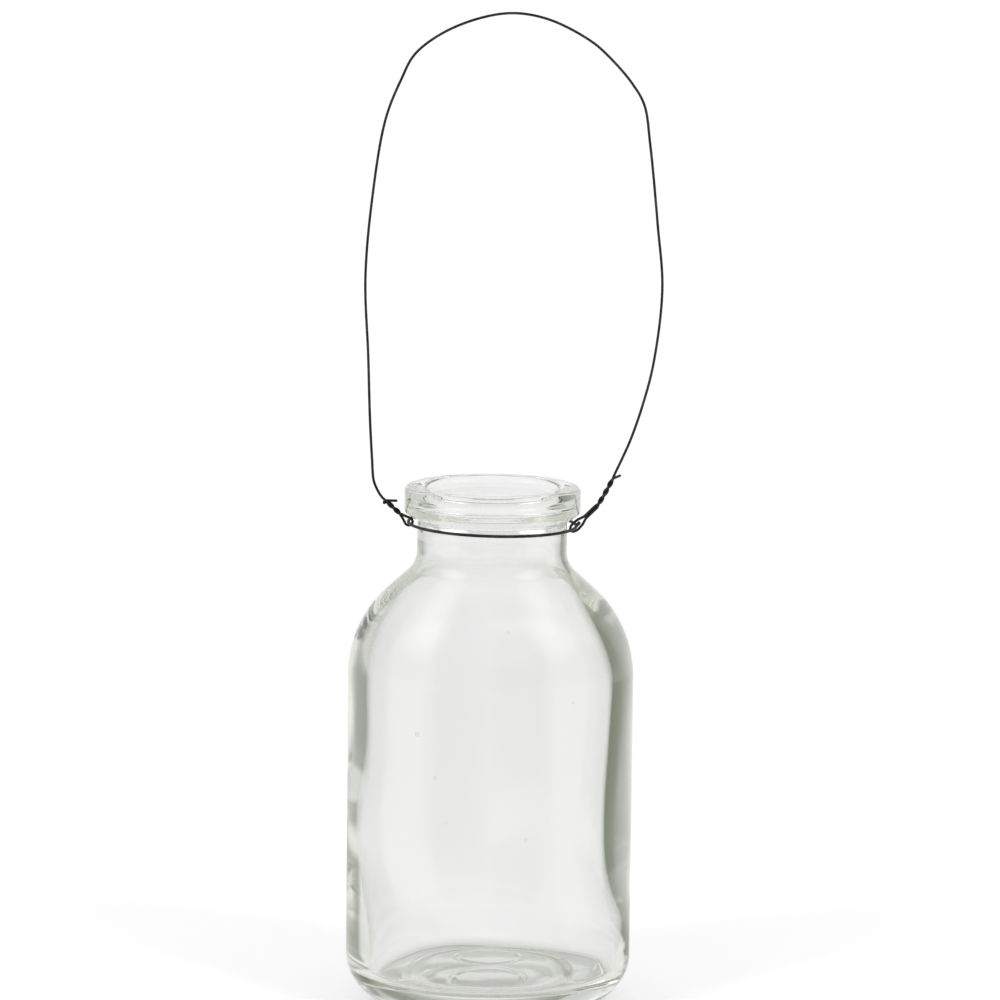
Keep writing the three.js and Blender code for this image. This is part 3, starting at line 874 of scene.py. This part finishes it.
def through(points, per_span):
    """A smooth curve through the points, in per_span steps from each to the next."""
    pts = [np.array(p, float) for p in points]
    ends = [2 * pts[0] - pts[1], *pts, 2 * pts[-1] - pts[-2]]
    made = []
    for p0, p1, p2, p3 in zip(ends, ends[1:], ends[2:], ends[3:]):
        t1 = math.sqrt(max(np.linalg.norm(p1 - p0), 1e-6))
        t2 = t1 + math.sqrt(max(np.linalg.norm(p2 - p1), 1e-6))
        t3 = t2 + math.sqrt(max(np.linalg.norm(p3 - p2), 1e-6))
        for t in np.linspace(t1, t2, per_span + 1)[:-1]:
            a1 = (t1 - t) / t1 * p0 + t / t1 * p1
            a2 = (t2 - t) / (t2 - t1) * p1 + (t - t1) / (t2 - t1) * p2
            a3 = (t3 - t) / (t3 - t2) * p2 + (t - t2) / (t3 - t2) * p3
            b1 = (t2 - t) / t2 * a1 + t / t2 * a2
            b2 = (t3 - t) / (t3 - t1) * a2 + (t - t1) / (t3 - t1) * a3
            made.append((t2 - t) / (t2 - t1) * b1 + (t - t1) / (t2 - t1) * b2)
    return made + [pts[-1]]


def hoop_stations(left_top, right_top, start, end):
    """From the +X twist's top over the crown to the -X twist's top."""
    def leg(side, points, top):
        return [beside_ring(side, out, top[2] + (BAIL_RISE - top[2]) * share) for out, share in points]

    def crown(points, corner):
        reach = corner[0] - BAIL_TOP_ACROSS
        return [np.array([BAIL_TOP_ACROSS + reach * share, 0, BAIL_RISE - down]) for share, down in points]

    left, right = leg(-1, LEFT_LEG, left_top), leg(1, RIGHT_LEG, right_top)
    over = [
        *right, *crown(RIGHT_CROWN, right[-1])[::-1], np.array([BAIL_TOP_ACROSS, 0, BAIL_RISE]),
        *crown(LEFT_CROWN, left[-1]), *left[::-1],
    ]
    return through([start, *over, end], HOOP_SPAN_STATIONS)[1:-1]


def bail_stations():
    """The whole wire, from its cut end at +X to its cut end at -X."""
    l_upper, l_lower, l_bend, l_end, l_top = left_side()
    r_upper, r_lower, r_bend, r_end, r_top = right_side()
    hoop = hoop_stations(l_top, r_top, r_upper[-1], l_upper[-1])
    return [
        *r_end[::-1], *r_lower[::-1], *r_bend, *r_upper, *hoop,
        *l_upper[::-1], *l_bend[::-1], *l_lower, *l_end,
    ]


def tube(path, radius):
    """A round wire along a path, with nipped ends: each narrows to a blunt edge, as cutters leave it."""
    path = [path[0]] + [p for a, p in zip(path, path[1:]) if np.linalg.norm(p - a) > SHORTEST_STEP]
    last = len(path) - 1
    ways = [unit(path[min(i + 1, last)] - path[max(i - 1, 0)]) for i in range(last + 1)]
    normal = unit(np.cross(ways[0], OFF_WIRE))
    verts, faces = [], []

    def section(centre, way, scale_a=1.0, scale_b=1.0):
        nonlocal normal
        normal = unit(normal - way * np.dot(normal, way))
        other = np.cross(way, normal)
        for k in range(WIRE_SIDES):
            a = 2 * math.pi * k / WIRE_SIDES
            verts.append(centre + radius * (scale_a * math.cos(a) * normal + scale_b * math.sin(a) * other))

    section(path[0], ways[0], NIP_THIN, NIP_WIDE)
    section(path[0] + ways[0] * radius * NIP_LENGTH, ways[0])
    for centre, way in list(zip(path, ways))[1:-1]:
        section(centre, way)
    section(path[-1] - ways[-1] * radius * NIP_LENGTH, ways[-1])
    section(path[-1], ways[-1], NIP_THIN, NIP_WIDE)
    rows = len(verts) // WIRE_SIDES
    for i in range(rows - 1):
        low, high = i * WIRE_SIDES, (i + 1) * WIRE_SIDES
        for k in range(WIRE_SIDES):
            m = (k + 1) % WIRE_SIDES
            faces.append([low + k, low + m, high + m, high + k])
    faces.append(list(range(WIRE_SIDES))[::-1])
    faces.append([(rows - 1) * WIRE_SIDES + k for k in range(WIRE_SIDES)])
    return verts, faces


def hang(points):
    """From the level layout round the origin to the wires' place under the lip."""
    turn = np.array(Matrix.Rotation(math.radians(RING_TILT), 3, "Y"))
    return [turn @ p + np.array([0, 0, HEIGHT - RING_DROP]) for p in points]


# The pieces
verts, faces = lathe(outer_profile(), inner_profile(), SIDES)
for centre, radii, lean in SEEDS:
    more, sides = seed_bubble(centre, radii, lean)
    base = len(verts)
    verts += more
    faces += [[base + c for c in f] for f in sides]
bottle = mesh_object("bottle_clear", verts, faces, glass_material())
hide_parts("bottle")
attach(bottle, "bottle")

verts, faces = tube(hang(through(ring_stations(), per_span=2)), WIRE_R)
ring = mesh_object("neck_wire_round", verts, faces, wire_material("neck_wire_dark", 0.013))
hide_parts("neck_wire")
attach(ring, "neck_wire")

verts, faces = tube(hang(through(bail_stations(), per_span=1)), BAIL_WIRE_R)
bail = mesh_object("bail_wire_round", verts, faces, wire_material("bail_wire_dark", 0.047))
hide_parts("bail_wire")
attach(bail, "bail")


# The stage and the lamps, in metres
FLOOR_HALF = 3.0
FLOOR_DROP = 0.00002
LAMPS = [("softbox_left", (-0.62, -0.62, 0.75)), ("softbox_right", (0.62, -0.62, 0.75))]
LAMP_SIZE = 0.34
LAMP_POWER = 2.6
LAMP_AIM = (0, 0, 0.06)


def make_floor():
    corners = [(-1, -1), (1, -1), (1, 1), (-1, 1)]
    mesh = bpy.data.meshes.new("floor")
    mesh.from_pydata([(x * FLOOR_HALF, y * FLOOR_HALF, 0) for x, y in corners], [], [(0, 1, 2, 3)])
    mesh.materials.append(floor_material())
    obj = bpy.data.objects.new("floor", mesh)
    obj.location.z = -FLOOR_DROP
    bpy.context.scene.collection.objects.link(obj)


def soft_light(name, place):
    """A square lamp that lights the stage and isn't itself seen in the glass."""
    data = bpy.data.lights.new(name, "AREA")
    data.shape = "RECTANGLE"
    data.size = data.size_y = LAMP_SIZE
    data.energy = LAMP_POWER
    obj = bpy.data.objects.new(name, data)
    bpy.context.scene.collection.objects.link(obj)
    obj.location = place
    obj.rotation_mode = "QUATERNION"
    obj.rotation_quaternion = (Vector(LAMP_AIM) - Vector(place)).to_track_quat("-Z", "Y")
    obj.visible_glossy = False
    obj.visible_transmission = False


make_floor()
make_world()
for name, place in LAMPS:
    soft_light(name, place)
bpy.context.scene.view_settings.view_transform = "Standard"
# light goes round in thick glass many times before it comes out
bpy.context.scene.cycles.max_bounces = 128
bpy.context.scene.cycles.glossy_bounces = 64
bpy.context.scene.cycles.transmission_bounces = 64
